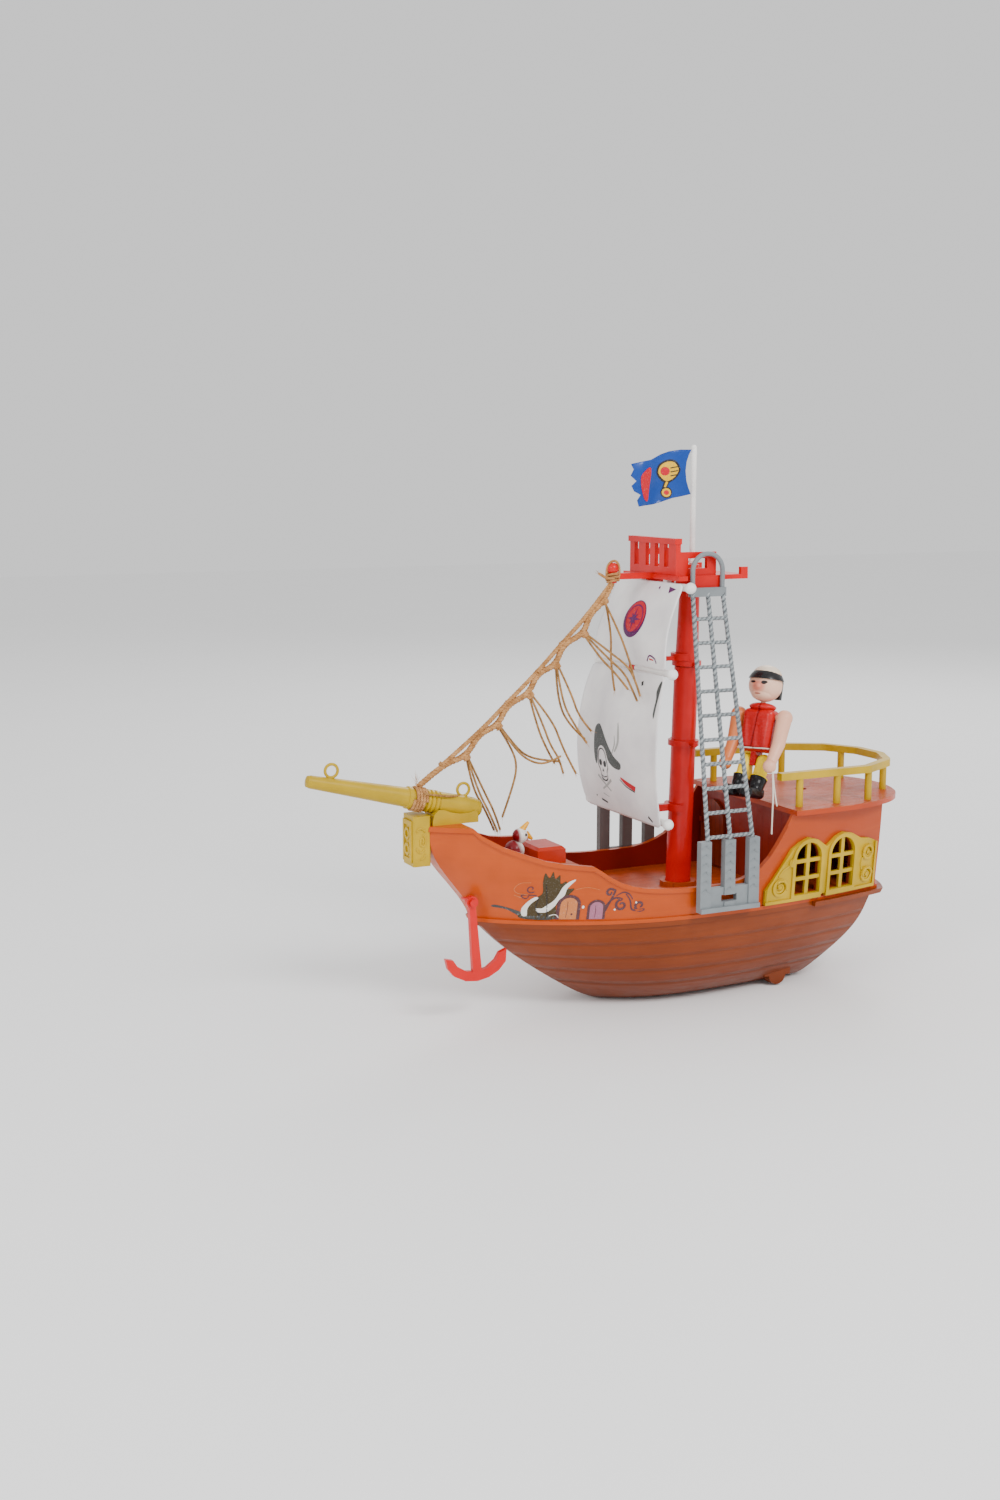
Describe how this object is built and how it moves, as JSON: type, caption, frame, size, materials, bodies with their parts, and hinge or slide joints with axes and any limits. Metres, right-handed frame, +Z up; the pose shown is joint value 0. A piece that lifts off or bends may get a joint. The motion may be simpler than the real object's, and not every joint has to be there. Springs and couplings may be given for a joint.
{
  "type": "toy boat",
  "caption": "Toy sailing ship with mast, sails, ladders, stern cabin, bowsprit with rope rigging, hanging anchor, turning flag and a jointed sailor figure",
  "frame": {"origin": "on the flat underside of the keel, straight under the mast foot", "axes": "+X towards the bow, +Y to port, +Z up the mast"},
  "size_m": [0.3683, 0.122, 0.3141],
  "materials": {
    "hull_brown": "satin moulded plastic",
    "hull_orange": "glossy moulded plastic",
    "deck_brown": "wood-grained moulded plastic",
    "gold_plastic": "glossy moulded plastic",
    "red_plastic": "glossy moulded plastic",
    "white_plastic": "glossy moulded plastic",
    "grey_plastic": "rope-textured moulded plastic",
    "door_brown": "moulded plastic",
    "wheel_plastic": "moulded plastic",
    "sail_cloth": "thin printed sheet",
    "flag_cloth": "thin printed sheet",
    "jute": "twisted twine",
    "skin": "painted plastic",
    "scarf_black": "painted plastic",
    "vest_red": "painted plastic",
    "trouser_yellow": "painted plastic",
    "parrot_red": "painted plastic",
    "parrot_white": "painted plastic",
    "parrot_orange": "painted plastic"
  },
  "bodies": {
    "boat": {"lower_hull": "hull_brown", "upper_hull": "hull_orange", "anchor_peg": "red_plastic", "main_deck": "deck_brown", "fore_deck": "deck_brown", "fore_hatch": "hull_orange", "poop_deck": "deck_brown", "poop_bulkhead": "hull_orange", "stern_rail": "gold_plastic", "window_panel_port": "gold_plastic", "window_panel_starboard": "gold_plastic", "bowsprit": "gold_plastic", "bowsprit_cradle": "gold_plastic", "figurehead": "gold_plastic", "mast_lower": "red_plastic", "mast_upper": "red_plastic", "crows_nest": "red_plastic", "yard_top": "white_plastic", "yard_middle": "white_plastic", "yard_bottom": "white_plastic", "sail_upper": "sail_cloth", "sail_lower": "sail_cloth", "ladder_port": "grey_plastic", "ladder_starboard": "grey_plastic", "parrot_body": "parrot_red", "parrot_head": "parrot_white", "parrot_beak": "parrot_orange", "stay_rope": "jute", "stay_line": "jute", "wrap_rope": "jute", "breech_line": "jute", "tassel_1": "jute", "tassel_2": "jute", "tassel_3": "jute", "tassel_4": "jute", "tassel_5": "jute", "tassel_6": "jute"},
    "wheel_port": {"wheel_port": "wheel_plastic"},
    "wheel_starboard": {"wheel_starboard": "wheel_plastic"},
    "cabin_door": {"cabin_door": "door_brown"},
    "anchor": {"anchor": "red_plastic"},
    "flagstaff": {"flagpole": "white_plastic", "flag": "flag_cloth"},
    "figure": {"figure_torso": "vest_red"},
    "figure_head": {"figure_head": "skin", "figure_scarf": "scarf_black"},
    "figure_arm_port": {"figure_arm_port": "skin"},
    "figure_arm_starboard": {"figure_arm_starboard": "skin"},
    "figure_leg_port": {"figure_leg_port": "trouser_yellow"},
    "figure_leg_starboard": {"figure_leg_starboard": "trouser_yellow"}
  },
  "joints": [
    {"name": "wheel_port_spin", "type": "hinge", "parent": "boat", "child": "wheel_port", "pos_m": [-0.054, 0.02, 0.0063], "axis": [0, 1, 0], "continuous": true},
    {"name": "wheel_starboard_spin", "type": "hinge", "parent": "boat", "child": "wheel_starboard", "pos_m": [-0.054, -0.02, 0.0063], "axis": [0, 1, 0], "continuous": true},
    {"name": "door_swing", "type": "hinge", "parent": "boat", "child": "cabin_door", "pos_m": [-0.0447, -0.0453, 0.077], "axis": [0, 0, 1], "range_deg": [-80, 0]},
    {"name": "anchor_swing", "type": "hinge", "parent": "boat", "child": "anchor", "pos_m": [0.1384, 0.0134, 0.0685], "axis": [0, 1, 0], "range_deg": [-75, 2]},
    {"name": "flagstaff_turn", "type": "hinge", "parent": "boat", "child": "flagstaff", "pos_m": [-0.006, 0, 0.245], "axis": [0, 0, 1], "continuous": true},
    {"name": "figure_lift_off", "type": "slide", "parent": "boat", "child": "figure", "axis": [0, 0, 1], "range_m": [0, 0.02]},
    {"name": "head_turn", "type": "hinge", "parent": "figure", "child": "figure_head", "pos_m": [-0.03935, 0.02551, 0.16815], "axis": [-0.1986, -0.1056, 0.9744], "range_deg": [-70, 70]},
    {"name": "arm_port_swing", "type": "hinge", "parent": "figure", "child": "figure_arm_port", "pos_m": [-0.04482, 0.03914, 0.16133], "axis": [-0.4695, 0.8829, 0], "range_deg": [-10, 10]},
    {"name": "arm_starboard_swing", "type": "hinge", "parent": "figure", "child": "figure_arm_starboard", "pos_m": [-0.03111, 0.01336, 0.16133], "axis": [-0.4695, 0.8829, 0], "range_deg": [-50, 30]},
    {"name": "leg_port_swing", "type": "hinge", "parent": "figure", "child": "figure_leg_port", "pos_m": [-0.03529, 0.03368, 0.136], "axis": [-0.4695, 0.8829, 0], "range_deg": [-10, 12]},
    {"name": "leg_starboard_swing", "type": "hinge", "parent": "figure", "child": "figure_leg_starboard", "pos_m": [-0.03031, 0.02432, 0.136], "axis": [-0.4695, 0.8829, 0], "range_deg": [-20, 12]}
  ]
}
